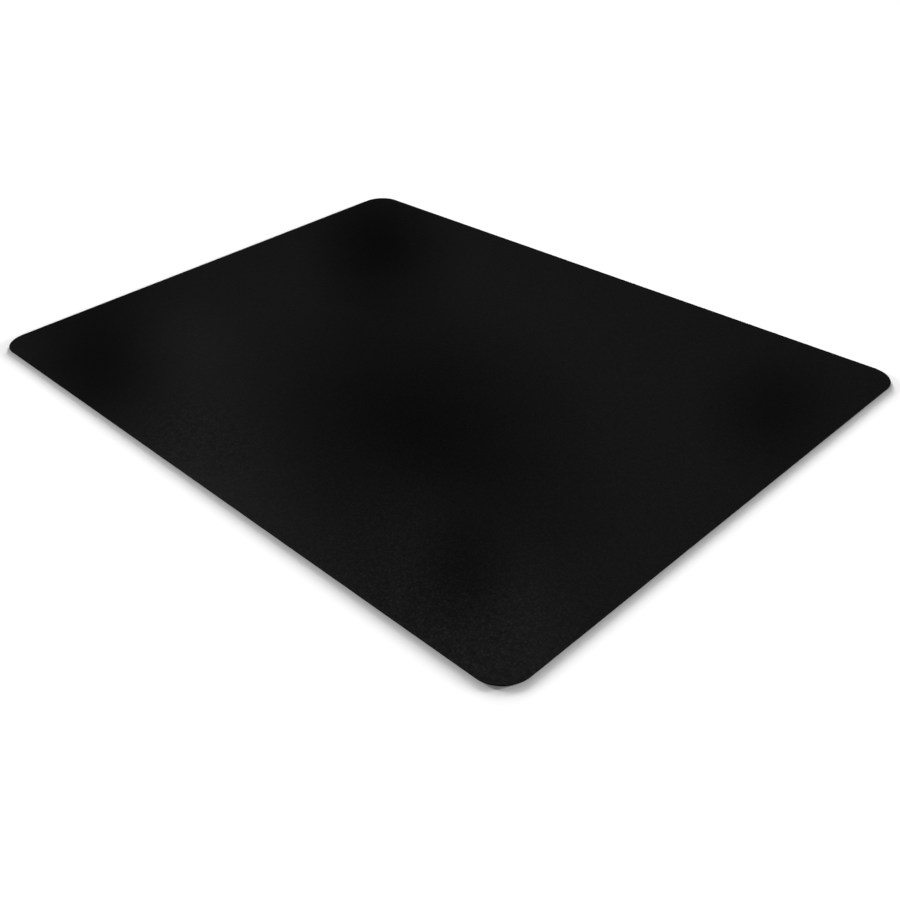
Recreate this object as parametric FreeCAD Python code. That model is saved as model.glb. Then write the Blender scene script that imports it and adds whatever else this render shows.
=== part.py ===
import FreeCAD, Part
import os

# Chair mat for hard floors: a flat, semi-rigid laminated sheet that an office chair's casters roll
# on. Three plies are bonded face to face and then die-cut together, so their outlines are flush.
#
# Millimetres. Origin at the centre of the underside, on the floor. +X runs along the long side,
# +Y along the short side, +Z up.

INCH = 25.4
LENGTH = 48 * INCH
WIDTH = 36 * INCH
CORNER_RADIUS = 44.0

# Ply thicknesses, from the floor up. Together they are the sheet's 2.2 mm.
BACKING_THICKNESS = 0.5
CORE_THICKNESS = 1.2
WEAR_THICKNESS = 0.5

# The wear layer's upper rim is eased, so that casters roll on and off without snagging.
RIM_RADIUS = 0.3

OUT_FOLDER = "parts"


def rounded_rectangle(length, width, radius, z):
    """A face at height z: a rectangle centred on the Z axis, its corners rounded by arcs."""
    half_length = length / 2
    half_width = width / 2
    mid_arc = radius * (1 - 0.5 ** 0.5)
    edges = []
    corners = [(1, 1), (-1, 1), (-1, -1), (1, -1)]
    for index, (sx, sy) in enumerate(corners):
        on_end = FreeCAD.Vector(sx * half_length, sy * (half_width - radius), z)
        on_side = FreeCAD.Vector(sx * (half_length - radius), sy * half_width, z)
        middle = FreeCAD.Vector(sx * (half_length - mid_arc), sy * (half_width - mid_arc), z)
        counterclockwise = sx == sy
        first, last = (on_end, on_side) if counterclockwise else (on_side, on_end)
        edges.append(Part.Arc(first, middle, last).toShape())
        next_sx, next_sy = corners[(index + 1) % len(corners)]
        if next_sy == sy:
            following = FreeCAD.Vector(next_sx * (half_length - radius), sy * half_width, z)
        else:
            following = FreeCAD.Vector(sx * half_length, next_sy * (half_width - radius), z)
        edges.append(Part.LineSegment(last, following).toShape())
    return Part.Face(Part.Wire(edges))


def ply(bottom, thickness):
    """One sheet of the laminate: the mat's outline, extruded upwards from its lower face."""
    outline = rounded_rectangle(LENGTH, WIDTH, CORNER_RADIUS, bottom)
    return outline.extrude(FreeCAD.Vector(0, 0, thickness))


def grip_backing():
    """Soft anti-slip ply that lies on the floor."""
    return ply(0.0, BACKING_THICKNESS)


def core_sheet():
    """Stiff ply in the middle, which spreads a caster's load and keeps the mat flat."""
    return ply(BACKING_THICKNESS, CORE_THICKNESS)


def wear_layer():
    """Embossed top ply that the casters roll on, its upper rim rounded all the way round."""
    bottom = BACKING_THICKNESS + CORE_THICKNESS
    top = bottom + WEAR_THICKNESS
    sheet = ply(bottom, WEAR_THICKNESS)
    rim = [e for e in sheet.Edges if e.BoundBox.ZMin > top - RIM_RADIUS / 2]
    return sheet.makeFillet(RIM_RADIUS, rim)


def main():
    os.makedirs(OUT_FOLDER, exist_ok=True)
    for make in (grip_backing, core_sheet, wear_layer):
        shape = make()
        shape.exportStep(f"{OUT_FOLDER}/{make.__name__}.step")
        print(make.__name__, shape.isValid(), round(shape.Volume, 1))


main()
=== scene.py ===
import math

import bpy
from mathutils import Matrix, Vector, noise


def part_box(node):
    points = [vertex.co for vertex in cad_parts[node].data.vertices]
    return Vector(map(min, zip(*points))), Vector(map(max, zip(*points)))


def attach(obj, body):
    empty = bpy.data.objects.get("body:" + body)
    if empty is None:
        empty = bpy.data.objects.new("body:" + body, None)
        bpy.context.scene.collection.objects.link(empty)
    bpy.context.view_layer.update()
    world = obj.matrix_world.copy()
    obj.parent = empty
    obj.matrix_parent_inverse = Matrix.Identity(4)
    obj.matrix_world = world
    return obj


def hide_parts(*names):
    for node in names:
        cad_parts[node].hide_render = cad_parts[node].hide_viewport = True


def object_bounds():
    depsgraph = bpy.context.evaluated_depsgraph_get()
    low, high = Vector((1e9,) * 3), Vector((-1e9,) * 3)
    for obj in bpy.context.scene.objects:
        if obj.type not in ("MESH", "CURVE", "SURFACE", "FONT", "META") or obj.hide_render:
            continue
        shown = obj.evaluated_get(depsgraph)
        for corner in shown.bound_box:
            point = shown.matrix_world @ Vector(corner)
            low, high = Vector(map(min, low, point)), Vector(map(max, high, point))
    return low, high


# Looks of the chair mat. Metres, in the CAD frame: origin at the centre of the underside on the
# floor, +X along the long side, +Y along the short side, +Z up.

MM = 0.001

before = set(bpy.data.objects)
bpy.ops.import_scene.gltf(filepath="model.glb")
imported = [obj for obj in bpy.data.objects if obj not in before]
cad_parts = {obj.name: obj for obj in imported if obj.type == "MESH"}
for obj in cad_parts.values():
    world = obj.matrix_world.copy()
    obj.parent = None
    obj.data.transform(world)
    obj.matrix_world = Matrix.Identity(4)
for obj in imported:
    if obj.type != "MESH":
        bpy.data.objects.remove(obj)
cad_lo, cad_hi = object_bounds()

# ---------------------------------------------------------------- dimensions

HALF_LENGTH = cad_hi.x
HALF_WIDTH = cad_hi.y
CORNER_RADIUS = 44.0 * MM
RIM_RADIUS = 0.3 * MM

# Half the size of the rectangle whose corners are the centres of the mat's corner arcs.
INNER_HALF_LENGTH = HALF_LENGTH - CORNER_RADIUS
INNER_HALF_WIDTH = HALF_WIDTH - CORNER_RADIUS

# Where one ply meets the next, the knife leaves each ply's own corner slightly rounded.
SEAM_EASE = 0.04 * MM
# The soft backing shrinks back a little from the cut once it is off the die, and its lower corner
# is pressed round.
BACKING_RECESS = 0.12 * MM
BACKING_ROUNDING = 0.15 * MM

# Steps of a corner arc of the outline, of the rim's quarter circle and of a seam's.
ARC_STEPS = 32
RIM_STEPS = 8
SEAM_STEPS = 3
# Insets of the edge loops that lead from the rim to the inner grid, which starts where the
# corner arcs have shrunk to a point.
LOOP_INSETS = [0.8 * MM, 2.0 * MM, 5.0 * MM, 11.0 * MM, 22.0 * MM]
FINE_CELL = 9.5 * MM
COARSE_CELL = 80.0 * MM

# The top is as even as a calendered sheet: its thickness wanders by under a tenth of a millimetre.
WANDER_HEIGHT = 0.05 * MM
WANDER_LENGTH = 240.0 * MM
WANDER_FADE = 60.0 * MM

# The mat's corners, counterclockwise, as the signs of X and Y. The first arc starts facing +X.
CORNER_SIGNS = [(1, 1), (-1, 1), (-1, -1), (1, -1)]


# ---------------------------------------------------------------- mesh of a ply

def arc_point(corner, radius, turn):
    """A point on a corner's arc, for a turn from 0 where the arc starts to 1 where it ends."""
    sign_x, sign_y = CORNER_SIGNS[corner]
    centre = Vector((sign_x * INNER_HALF_LENGTH, sign_y * INNER_HALF_WIDTH))
    angle = math.radians(90 * (corner + turn))
    return centre + radius * Vector((math.cos(angle), math.sin(angle)))


def loop_points(inset, columns, rows):
    """The mat's outline moved inwards, counterclockwise, with as many points at every inset."""
    radius = CORNER_RADIUS - inset
    points = []
    for corner in range(4):
        points += [arc_point(corner, radius, step / ARC_STEPS) for step in range(ARC_STEPS + 1)]
        start = points[-1]
        end = arc_point((corner + 1) % 4, radius, 0)
        # A long side follows the first and third corner, a short side the second and fourth.
        cells = columns if corner % 2 == 0 else rows
        points += [start.lerp(end, k / cells) for k in range(1, cells)]
    return points


def wander(x, y):
    """How far the top's slow unevenness lifts a point. It fades out towards the edges."""
    from_edge = min(HALF_LENGTH - abs(x), HALF_WIDTH - abs(y))
    fade = min(1.0, max(0.0, from_edge / WANDER_FADE))
    fade = fade * fade * (3 - 2 * fade)
    return WANDER_HEIGHT * fade * noise.noise(Vector((x, y, 0)) / WANDER_LENGTH)


class PlyMesh:
    """A closed shell: a stack of outline loops up the side, closed by a cap above and below."""

    def __init__(self, cell):
        self.columns = round(2 * INNER_HALF_LENGTH / cell)
        self.rows = round(2 * INNER_HALF_WIDTH / cell)
        self.verts = []
        self.faces = []

    def point(self, x, y, z, uneven):
        self.verts.append((x, y, z + (wander(x, y) if uneven else 0.0)))

    def loop(self, inset, z, uneven=False):
        """Adds an outline loop and returns its vertex numbers."""
        first = len(self.verts)
        for p in loop_points(inset, self.columns, self.rows):
            self.point(p.x, p.y, z, uneven)
        return list(range(first, len(self.verts)))

    def bridge(self, lower, upper):
        """Quads between two loops, facing outwards when upper lies above or inside lower."""
        count = len(lower)
        for k in range(count):
            n = (k + 1) % count
            self.faces.append((lower[k], lower[n], upper[n], upper[k]))

    def grid(self, z, uneven):
        """Quads over the inner rectangle. Returns its border's vertex numbers, in a loop's order."""
        first = len(self.verts)
        stride = self.columns + 1
        for j in range(self.rows + 1):
            for i in range(self.columns + 1):
                x = -INNER_HALF_LENGTH + 2 * INNER_HALF_LENGTH * i / self.columns
                y = -INNER_HALF_WIDTH + 2 * INNER_HALF_WIDTH * j / self.rows
                self.point(x, y, z, uneven)
        for j in range(self.rows):
            for i in range(self.columns):
                a = first + j * stride + i
                self.faces.append((a, a + 1, a + stride + 1, a + stride))
        top = first + self.rows * stride
        border = [top + self.columns - i for i in range(self.columns)]
        border += [top - j * stride for j in range(self.rows)]
        border += [first + i for i in range(self.columns)]
        border += [first + self.columns + j * stride for j in range(self.rows)]
        return border

    def join_to_grid(self, loop, border):
        """A fan of triangles from each corner arc to its centre, and quads along each side."""
        k = 0
        b = 0
        for cells in (self.columns, self.rows, self.columns, self.rows):
            for _ in range(ARC_STEPS):
                self.faces.append((loop[k], loop[(k + 1) % len(loop)], border[b]))
                k += 1
            for _ in range(cells):
                next_k = (k + 1) % len(loop)
                next_b = (b + 1) % len(border)
                self.faces.append((loop[k], loop[next_k], border[next_b], border[b]))
                k += 1
                b += 1

    def cap(self, outer, z, uneven=False):
        """Closes the space inside a loop, facing up."""
        for inset in LOOP_INSETS:
            inner = self.loop(inset, z, uneven)
            self.bridge(outer, inner)
            outer = inner
        self.join_to_grid(outer, self.grid(z, uneven))

    def finish(self, name):
        mesh = bpy.data.meshes.new(name)
        mesh.from_pydata(self.verts, [], self.faces)
        mesh.validate()
        mesh.shade_smooth()
        piece = bpy.data.objects.new(name, mesh)
        bpy.context.scene.collection.objects.link(piece)
        return piece


def make_ply(name, cell, side, uneven=False):
    """A ply from its side profile, a list of (inset, z) from the underside up to the top."""
    ply = PlyMesh(cell)
    loops = [ply.loop(inset, z) for inset, z in side]
    for lower, upper in zip(loops, loops[1:]):
        ply.bridge(lower, upper)
    ply.cap(loops[-1], side[-1][1], uneven)
    # The lower cap is made like the upper one and then turned over.
    first_face = len(ply.faces)
    ply.cap(loops[0], side[0][1])
    ply.faces[first_face:] = [face[::-1] for face in ply.faces[first_face:]]
    return ply.finish(name)


def rounded(inset, z, radius, from_angle, to_angle, steps):
    """Part of a circle in a side profile. Angle 0 is the outermost point, 90 the highest."""
    arc = []
    for step in range(steps + 1):
        angle = math.radians(from_angle + (to_angle - from_angle) * step / steps)
        arc.append((inset + radius * (1 - math.cos(angle)), z + radius * math.sin(angle)))
    return arc


def ply_side(node, inset, lower_radius, upper_radius, upper_steps):
    """The cut side of a ply at its CAD height, with its lower and upper corner rounded."""
    lo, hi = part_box(node)
    side = rounded(inset, lo.z + lower_radius, lower_radius, -90, 0, SEAM_STEPS)
    side += rounded(inset, hi.z - upper_radius, upper_radius, 0, 90, upper_steps)
    return side


wear_side = ply_side("wear_layer", 0.0, SEAM_EASE, RIM_RADIUS, RIM_STEPS)
core_side = ply_side("core_sheet", 0.0, SEAM_EASE, SEAM_EASE, SEAM_STEPS)
backing_side = ply_side("grip_backing", BACKING_RECESS, BACKING_ROUNDING, SEAM_EASE, SEAM_STEPS)

wear = make_ply("wear_sheet", FINE_CELL, wear_side, uneven=True)
core = make_ply("core_board", COARSE_CELL, core_side)
backing = make_ply("backing_film", FINE_CELL, backing_side)


# ---------------------------------------------------------------- materials

class Tree:
    """Short calls for building a material's nodes."""

    def __init__(self, name):
        self.material = bpy.data.materials.new(name)
        self.material.use_nodes = True
        self.tree = self.material.node_tree
        self.tree.nodes.clear()
        self.coord = self.new("ShaderNodeTexCoord").outputs["Object"]

    def new(self, kind):
        return self.tree.nodes.new(kind)

    def plug(self, socket, value):
        if isinstance(value, bpy.types.NodeSocket):
            self.tree.links.new(value, socket)
        elif value is not None:
            socket.default_value = value

    def noise_node(self, size, detail, at=None):
        n = self.new("ShaderNodeTexNoise")
        self.plug(n.inputs["Vector"], at or self.coord)
        self.plug(n.inputs["Scale"], 1 / size)
        self.plug(n.inputs["Detail"], detail)
        return n

    def noise(self, size, detail=2.0, roughness=0.5, at=None):
        """Noise whose features are about this size in metres."""
        n = self.noise_node(size, detail, at)
        self.plug(n.inputs["Roughness"], roughness)
        return n.outputs["Fac"]

    def cells(self, size, smoothness, at):
        """Rounded cells: the distance from each one's middle, and a random colour for each."""
        n = self.new("ShaderNodeTexVoronoi")
        n.feature = "SMOOTH_F1"
        self.plug(n.inputs["Vector"], at)
        self.plug(n.inputs["Scale"], 1 / size)
        self.plug(n.inputs["Smoothness"], smoothness)
        return n.outputs["Distance"], n.outputs["Color"]

    def threads(self, direction, spacing):
        """Soft bands across X or Y, a little wavy, with this spacing in metres."""
        n = self.new("ShaderNodeTexWave")
        n.wave_type = "BANDS"
        n.bands_direction = direction
        n.wave_profile = "SIN"
        self.plug(n.inputs["Vector"], self.coord)
        # A wave node draws a band every pi / 10 of its scaled coordinate.
        self.plug(n.inputs["Scale"], math.pi / 10 / spacing)
        self.plug(n.inputs["Distortion"], 0.8)
        self.plug(n.inputs["Detail"], 1.0)
        return n.outputs["Fac"]

    def math(self, operation, a, b=None, c=None, clamp=False):
        n = self.new("ShaderNodeMath")
        n.operation = operation
        n.use_clamp = clamp
        for socket, value in zip(n.inputs, (a, b, c)):
            self.plug(socket, value)
        return n.outputs[0]

    def vector(self, operation, a, b=None):
        n = self.new("ShaderNodeVectorMath")
        n.operation = operation
        self.plug(n.inputs[0], a)
        self.plug(n.inputs[1], b)
        return n.outputs["Value" if operation in ("LENGTH", "DOT_PRODUCT") else "Vector"]

    def remap(self, value, low, high, to_low=0.0, to_high=1.0, smooth=False):
        n = self.new("ShaderNodeMapRange")
        n.interpolation_type = "SMOOTHSTEP" if smooth else "LINEAR"
        self.plug(n.inputs["Value"], value)
        self.plug(n.inputs["From Min"], low)
        self.plug(n.inputs["From Max"], high)
        self.plug(n.inputs["To Min"], to_low)
        self.plug(n.inputs["To Max"], to_high)
        return n.outputs["Result"]

    def spread(self, value, to_low, to_high):
        """A noise, which lies mostly between 0.3 and 0.7, spread over another range."""
        return self.remap(value, 0.3, 0.7, to_low, to_high)

    def scale_colour(self, colour, factor):
        """A colour multiplied by a number."""
        n = self.new("ShaderNodeVectorMath")
        n.operation = "SCALE"
        self.plug(n.inputs[0], colour)
        self.plug(n.inputs["Scale"], factor)
        return n.outputs["Vector"]

    def bump(self, height, depth, strength):
        n = self.new("ShaderNodeBump")
        self.plug(n.inputs["Height"], height)
        self.plug(n.inputs["Distance"], depth)
        self.plug(n.inputs["Strength"], strength)
        return n.outputs["Normal"]

    def edge_distance(self):
        """How far inside the mat's outline a point is, in metres."""
        flat = self.vector("MULTIPLY", self.coord, (1.0, 1.0, 0.0))
        inner_corner = (INNER_HALF_LENGTH, INNER_HALF_WIDTH, 0.0)
        beyond = self.vector("SUBTRACT", self.vector("ABSOLUTE", flat), inner_corner)
        outside = self.vector("LENGTH", self.vector("MAXIMUM", beyond, (0.0, 0.0, 0.0)))
        return self.math("SUBTRACT", CORNER_RADIUS, outside)

    def blend(self, base, places):
        """A value that eases from base to each place's own value over the place's soft ellipse."""
        ragged = self.spread(self.noise(PLACE_EDGE_LENGTH, detail=1.0), -PLACE_EDGE, PLACE_EDGE)
        result = base
        for (x, y), half_length, half_width, slant, value in places:
            turn = math.radians(slant)
            along = (math.cos(turn), math.sin(turn), 0.0)
            across = (-math.sin(turn), math.cos(turn), 0.0)
            offset = self.vector("SUBTRACT", self.coord, (x, y, 0.0))
            u = self.math("DIVIDE", self.vector("DOT_PRODUCT", offset, along), half_length)
            v = self.math("DIVIDE", self.vector("DOT_PRODUCT", offset, across), half_width)
            square = self.math("ADD", self.math("POWER", u, 2.0), self.math("POWER", v, 2.0))
            away = self.math("ADD", self.math("SQRT", square), ragged)
            factor = self.remap(away, 0.0, 1.0, value / base, 1.0, smooth=True)
            result = self.math("MULTIPLY", result, factor)
        return result

    def upward(self):
        """The Z part of the surface's own normal: 1 on the top, 0 on the cut side, -1 below."""
        geometry = self.new("ShaderNodeNewGeometry")
        split = self.new("ShaderNodeSeparateXYZ")
        self.plug(split.inputs[0], geometry.outputs["Normal"])
        return split.outputs["Z"]

    def surface(self, colour, roughness, normal, specular):
        shader = self.new("ShaderNodeBsdfPrincipled")
        self.plug(shader.inputs["Base Color"], colour)
        self.plug(shader.inputs["Roughness"], roughness)
        self.plug(shader.inputs["Normal"], normal)
        shader.inputs["Specular IOR Level"].default_value = specular
        out = self.new("ShaderNodeOutputMaterial")
        self.tree.links.new(shader.outputs[0], out.inputs["Surface"])
        return self.material


BLACK_VINYL = (0.0240, 0.0240, 0.0241)
# The core's black is made deeper than the top's vinyl: painted shade on the cut edge.
CORE_BLACK_AND_EDGE_SHADE = (0.0040, 0.0040, 0.0041)
# The grip's black is deeper too: partly the compound's own black, partly painted shade on its cut edge.
GRIP_BLACK_AND_EDGE_SHADE = (0.0060, 0.0060, 0.0061)

# The top's grain, from coarse to fine: a slow mottle, the pebbles, and the vinyl's own tooth. Each
# one's height is in emboss depths.
MOTTLE = 8.0 * MM
MOTTLE_HEIGHT = 1.3
PEBBLE = 3.7 * MM
PEBBLE_HEIGHT = 0.62
TOOTH = 1.0 * MM
TOOTH_HEIGHT = 0.12
EMBOSS_DEPTH = 0.36 * MM
EMBOSS_STRENGTH = 0.9
# A noise pushes the pebbles' grid about: how far it can push from side to side in all, and the
# length over which the push changes.
PUSH = 2.4 * MM
PUSH_LENGTH = 4.5 * MM
# How crisp the grain is, its bumps and its painted shade and glints, away from the crisp places. At 1
# it is as deep as its heights above say.
CRISP_BASE = 0.38

# The width of the rim that wear polishes, and the size of its rubbed stretches.
RUBBED_WIDTH = 2.2 * MM
RUBBED_LENGTH = 35.0 * MM
# The size of the slow unevenness in the top's tone.
SHEEN_LENGTH = 280.0 * MM

# The underside: from one thread of the linen emboss to the next, and the size of its cloudy patches.
LINEN_SPACING = 1.3 * MM
CLOUD_LENGTH = 120.0 * MM

# Places where the sheet's tone or its grain differs, each a soft ellipse: its middle, half length,
# half width, the slant of its length in degrees, and the value in the middle. The tone is painted
# darker towards the four corners and in the middle, as painted shade, and lighter in between along
# the front, as painted pools of light.
SHADE_AND_LIGHT_PLACES = [
    ((-0.41, 0.27), 0.50, 0.20, -40, 0.12),
    ((-0.42, -0.37), 0.60, 0.21, -30, 0.20),
    ((0.51, 0.25), 0.25, 0.13, -65, 0.42),
    ((0.42, -0.33), 0.18, 0.10, -40, 0.35),
    ((0.15, -0.16), 0.65, 0.38, -30, 0.14),
    ((-0.45, -0.27), 0.27, 0.18, 0, 1.40),
    ((0.36, -0.30), 0.38, 0.12, -20, 1.70),
]
# Where the grain is crisper, its painted shade and painted glints are stronger as well.
CRISP_AND_GLINT_PLACES = [
    ((-0.08, -0.40), 0.20, 0.14, 0, 1.2),
    ((0.50, -0.44), 0.40, 0.22, -10, 1.25),
    ((0.16, -0.22), 0.30, 0.14, -25, 0.7),
]
# The ellipses are ragged: by what share of their size, and the length over which that changes.
PLACE_EDGE = 0.02
PLACE_EDGE_LENGTH = 100.0 * MM


def wear_material():
    """Matt black vinyl with an embossed random pebble grain, a little rubbed along the rim."""
    t = Tree("wear_vinyl")
    # The roll that embosses the sheet has uneven pebbles, so their grid is pushed about.
    random_colour = t.noise_node(PUSH_LENGTH, 1.0).outputs["Color"]
    push = t.vector("MULTIPLY", t.vector("SUBTRACT", random_colour, (0.5, 0.5, 0.5)), (PUSH, PUSH, 0.0))
    distance, cell_colour = t.cells(PEBBLE, 0.55, t.vector("ADD", t.coord, push))
    pebble = t.remap(distance, 0.10, 0.62, 1.0, 0.0, smooth=True)
    mottle = t.noise(MOTTLE, detail=1.5)
    tooth = t.noise(TOOTH, detail=1.0)
    # The roll pressed its grain crisper in some places along the front side, and there the grain's
    # painted shade and glints are stronger too.
    crisp = t.blend(CRISP_BASE, CRISP_AND_GLINT_PLACES)

    # Some pebbles stand higher than the rest, and catch more of a raking light.
    proud = t.remap(cell_colour, 0.35, 0.8, 0.35, 1.6)
    height = t.math("MULTIPLY", pebble, t.math("MULTIPLY", proud, PEBBLE_HEIGHT))
    height = t.math("MULTIPLY_ADD", mottle, MOTTLE_HEIGHT, height)
    height = t.math("MULTIPLY_ADD", tooth, TOOTH_HEIGHT, height)
    height = t.math("MULTIPLY", height, crisp)

    # Only the top is embossed.
    upward = t.upward()
    on_top = t.remap(upward, 0.5, 0.95)
    normal = t.bump(height, EMBOSS_DEPTH, t.math("MULTIPLY", on_top, EMBOSS_STRENGTH))

    # The sheet's tone: the places of painted shade and painted light, and a slow unevenness all over.
    slow = t.noise(SHEEN_LENGTH, detail=2.0, roughness=0.45)
    tone = t.math("MULTIPLY", t.blend(1.0, SHADE_AND_LIGHT_PLACES), t.spread(slow, 0.97, 1.03))

    # The grain's tone: painted shade between the pebbles and painted light on their tops, mottled, and
    # painted glints that make a few pebbles much lighter.
    grain = t.remap(pebble, 0.0, 1.0, -0.20, 0.14)
    grain = t.math("ADD", grain, t.spread(mottle, -0.16, 0.16))
    painted_glint = t.math("MULTIPLY", pebble, t.remap(cell_colour, 0.60, 0.75, 0.0, 0.45))
    grain = t.math("ADD", grain, painted_glint)
    tone = t.math("MULTIPLY", tone, t.math("MULTIPLY_ADD", grain, crisp, 1.0))

    # The cut side is painted darker: painted shade on the edge.
    tone = t.math("MULTIPLY", tone, t.remap(upward, 0.3, 0.95, 0.2, 1.0))

    # Handling and casters polish the rim in uneven stretches.
    edge = t.remap(t.edge_distance(), 0.0, RUBBED_WIDTH, 1.0, 0.0, smooth=True)
    stretches = t.remap(t.noise(RUBBED_LENGTH, detail=3.0), 0.38, 0.66, 0.15, 1.0)
    rubbed = t.math("MULTIPLY", edge, stretches)
    tone = t.math("MULTIPLY", tone, t.math("MULTIPLY_ADD", rubbed, 0.15, 1.0))

    rough = t.remap(pebble, 0.0, 1.0, 0.74, 0.58)
    rough = t.math("SUBTRACT", rough, t.math("MULTIPLY", rubbed, 0.12), clamp=True)
    return t.surface(t.scale_colour(BLACK_VINYL, tone), rough, normal, specular=0.11)


def core_material():
    """Solid black vinyl, seen only as the die-cut edge: satin, with fine lines along the cut. Its black
    is made deeper, as painted shade on the edge.
    """
    t = Tree("core_vinyl")
    # Squeezing the noise in height draws it out into lines along the edge.
    squeezed = t.vector("MULTIPLY", t.coord, (1.0, 1.0, 45.0))
    strokes = t.noise(7.0 * MM, detail=3.0, roughness=0.6, at=squeezed)
    speck = t.noise(0.5 * MM, detail=2.0)
    height = t.math("MULTIPLY_ADD", strokes, 0.7, t.math("MULTIPLY", speck, 0.3))
    normal = t.bump(height, 0.03 * MM, 0.8)
    tone = t.remap(strokes, 0.25, 0.75, 0.8, 1.2)
    tone = t.math("MULTIPLY", tone, t.spread(speck, 0.9, 1.1))
    rough = t.remap(strokes, 0.25, 0.75, 0.62, 0.48)
    return t.surface(t.scale_colour(CORE_BLACK_AND_EDGE_SHADE, tone), rough, normal, specular=0.04)


def grip_material():
    """Soft matt anti-slip compound with a fine linen emboss. Its black is made deeper, partly its own
    black and partly painted shade on the cut edge.
    """
    t = Tree("grip_rubber")
    linen = t.math("MULTIPLY", t.threads("X", LINEN_SPACING), t.threads("Y", LINEN_SPACING))
    speck = t.noise(0.6 * MM, detail=2.0)
    cloud = t.noise(CLOUD_LENGTH, detail=3.0)
    height = t.math("MULTIPLY_ADD", linen, 0.8, t.math("MULTIPLY", speck, 0.25))
    normal = t.bump(height, 0.08 * MM, 0.8)
    tone = t.math("MULTIPLY", t.remap(linen, 0.0, 1.0, 0.78, 1.12), t.spread(cloud, 0.9, 1.12))
    tone = t.math("MULTIPLY", tone, t.spread(speck, 0.93, 1.07))
    rough = t.spread(cloud, 0.9, 0.8)
    return t.surface(t.scale_colour(GRIP_BLACK_AND_EDGE_SHADE, tone), rough, normal, specular=0.04)


for piece, node, slot, material in (
    (wear, "wear_layer", "wear_vinyl", wear_material()),
    (core, "core_sheet", "core_vinyl", core_material()),
    (backing, "grip_backing", "grip_rubber", grip_material()),
):
    piece.data.materials.append(material)
    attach(piece, "root")
    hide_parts(node)


# ---------------------------------------------------------------- studio

FLOOR_HALF = 60.0
FLOOR_ALBEDO = 0.9

# The camera sees the world as a little over full white. The mat gets only a faint glow from it.
SEEN_WORLD = 1.05
WORLD_GLOW = 0.02


def make_floor():
    mesh = bpy.data.meshes.new("studio_floor")
    corners = [(sx * FLOOR_HALF, sy * FLOOR_HALF, 0) for sx, sy in ((-1, -1), (1, -1), (1, 1), (-1, 1))]
    mesh.from_pydata(corners, [], [(0, 1, 2, 3)])
    floor = bpy.data.objects.new("studio_floor", mesh)
    bpy.context.scene.collection.objects.link(floor)
    paint = bpy.data.materials.new("floor_paint")
    paint.use_nodes = True
    shader = paint.node_tree.nodes["Principled BSDF"]
    shader.inputs["Base Color"].default_value = (FLOOR_ALBEDO, FLOOR_ALBEDO, FLOOR_ALBEDO, 1.0)
    shader.inputs["Roughness"].default_value = 1.0
    shader.inputs["Specular IOR Level"].default_value = 0.0
    mesh.materials.append(paint)
    return floor


def towards(azimuth, elevation):
    """Unit vector towards a place in the sky. Azimuth 0 is -Y, 90 is +X."""
    a = math.radians(azimuth)
    e = math.radians(elevation)
    return Vector((math.sin(a) * math.cos(e), -math.cos(a) * math.cos(e), math.sin(e)))


def pointing(direction):
    """Rotation of a lamp that shines along a direction."""
    return direction.to_track_quat("-Z", "Y").to_matrix().to_4x4()


def place_lamp(name, data, placing, receivers):
    """Adds a lamp that lights only the receivers. Everything still casts its shadow."""
    lamp = bpy.data.objects.new(name, data)
    lamp.matrix_world = placing
    bpy.context.scene.collection.objects.link(lamp)
    group = bpy.data.collections.new(name + "_lights")
    for receiver in receivers:
        group.objects.link(receiver)
    lamp.light_linking.receiver_collection = group


def add_sun(name, azimuth, elevation, width, floor_share, receivers):
    """A distant lamp, width degrees across, that gives this share of the floor's white."""
    data = bpy.data.lights.new(name, "SUN")
    data.energy = floor_share * math.pi / (FLOOR_ALBEDO * math.sin(math.radians(elevation)))
    data.angle = math.radians(width)
    place_lamp(name, data, pointing(-towards(azimuth, elevation)), receivers)


def add_softbox(name, place, target, width, height, power, receivers):
    data = bpy.data.lights.new(name, "AREA")
    data.shape = "RECTANGLE"
    data.size = width
    data.size_y = height
    data.energy = power
    placing = Matrix.Translation(place) @ pointing(Vector(target) - Vector(place))
    place_lamp(name, data, placing, receivers)


floor = make_floor()

# Low lamps behind and beside the mat, from which its thin edge casts a wide soft shadow towards
# the camera, and a broad one above. They light only the floor.
add_sun("left_light", azimuth=275, elevation=6.5, width=6, floor_share=0.18, receivers=[floor])
add_sun("right_back_light", azimuth=155, elevation=5, width=5, floor_share=0.18, receivers=[floor])
add_sun("low_back_light", azimuth=225, elevation=6, width=10, floor_share=0.36, receivers=[floor])
add_sun("back_light", azimuth=225, elevation=13, width=22, floor_share=0.18, receivers=[floor])
add_sun("top_light", azimuth=0, elevation=90, width=70, floor_share=0.13, receivers=[floor])

# Softboxes that light only the mat: one above, one behind, and two that rake across the front.
mat_pieces = [wear, core, backing]
add_softbox(
    "overhead_softbox", place=(-0.3, 0.6, 3.0), target=(-0.1, 0.1, 0.0),
    width=3.0, height=2.6, power=20.4, receivers=mat_pieces,
)
add_softbox(
    "rear_softbox", place=(-1.3, 1.7, 1.7), target=(0.0, 0.0, 0.0),
    width=1.8, height=1.0, power=1.4, receivers=mat_pieces,
)
add_softbox(
    "raking_softbox", place=(-0.15, -0.97, 0.36), target=(-0.15, -0.30, 0.0),
    width=0.60, height=0.25, power=2.2, receivers=[wear],
)
add_softbox(
    "corner_softbox", place=(0.60, -0.92, 0.32), target=(0.52, -0.40, 0.0),
    width=0.30, height=0.25, power=0.9, receivers=[wear],
)


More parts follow.
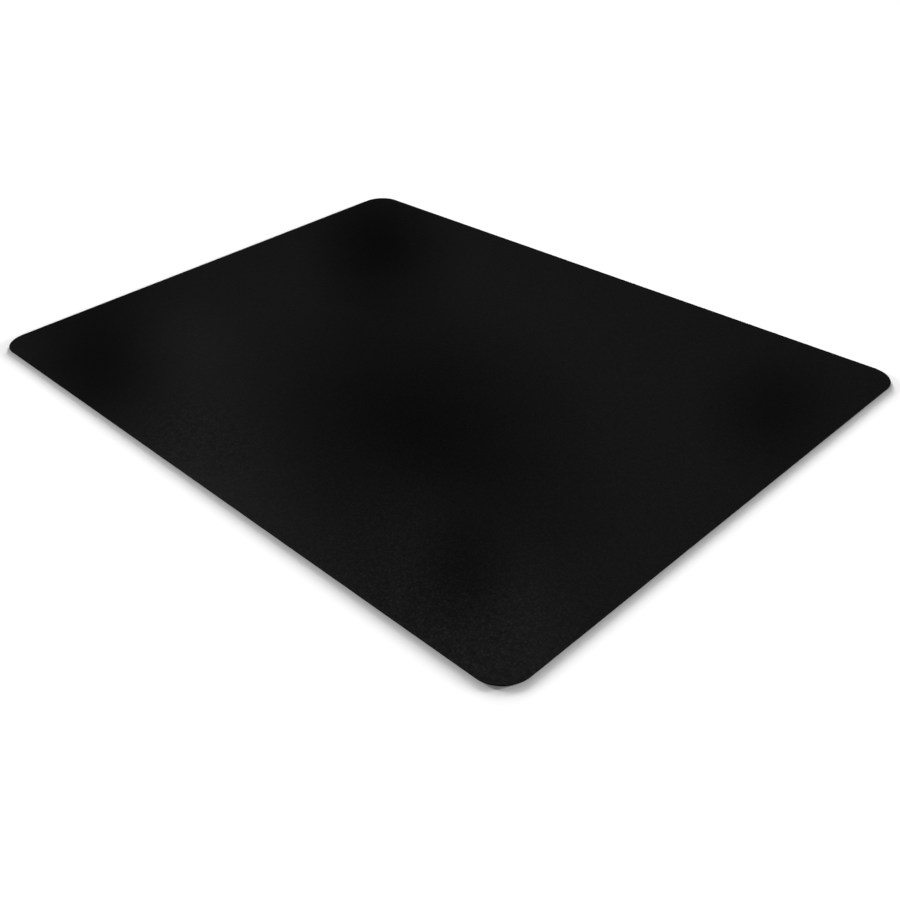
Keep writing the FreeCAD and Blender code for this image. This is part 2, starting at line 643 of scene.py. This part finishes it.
def make_world():
    world = bpy.data.worlds.new("studio")
    world.use_nodes = True
    tree = world.node_tree
    tree.nodes.clear()
    out = tree.nodes.new("ShaderNodeOutputWorld")
    mix = tree.nodes.new("ShaderNodeMixShader")
    path = tree.nodes.new("ShaderNodeLightPath")
    glow = tree.nodes.new("ShaderNodeBackground")
    seen = tree.nodes.new("ShaderNodeBackground")
    glow.inputs["Color"].default_value = (1.0, 1.0, 1.0, 1.0)
    glow.inputs["Strength"].default_value = WORLD_GLOW
    seen.inputs["Color"].default_value = (1.0, 1.0, 1.0, 1.0)
    seen.inputs["Strength"].default_value = SEEN_WORLD
    tree.links.new(path.outputs["Is Camera Ray"], mix.inputs[0])
    tree.links.new(glow.outputs[0], mix.inputs[1])
    tree.links.new(seen.outputs[0], mix.inputs[2])
    tree.links.new(mix.outputs[0], out.inputs["Surface"])
    bpy.context.scene.world = world


make_world()
bpy.context.scene.view_settings.view_transform = "Standard"

# ---------------------------------------------------------------- camera

CAMERA_AZIMUTH = 47.64
CAMERA_ELEVATION = 34.3
CAMERA_ROLL = -3.2
CAMERA_DISTANCE = 1.586
CAMERA_AIM = Vector((0.2047, -0.1736, 0.0))
LENS = 43.16
SENSOR_WIDTH = 36.0
SIDE_SHIFT = 0.0196


def make_camera():
    azimuth = math.radians(CAMERA_AZIMUTH)
    roll = math.radians(CAMERA_ROLL)
    back = towards(CAMERA_AZIMUTH, CAMERA_ELEVATION)
    level = Vector((math.cos(azimuth), math.sin(azimuth), 0.0))
    up = back.cross(level)
    right = math.cos(roll) * level + math.sin(roll) * up
    top = math.cos(roll) * up - math.sin(roll) * level
    data = bpy.data.cameras.new("camera")
    data.lens = LENS
    data.sensor_width = SENSOR_WIDTH
    data.shift_x = SIDE_SHIFT
    camera = bpy.data.objects.new("camera", data)
    turn = Matrix((right, top, back)).transposed().to_4x4()
    camera.matrix_world = Matrix.Translation(CAMERA_AIM + CAMERA_DISTANCE * back) @ turn
    bpy.context.scene.collection.objects.link(camera)
    bpy.context.scene.camera = camera


make_camera()
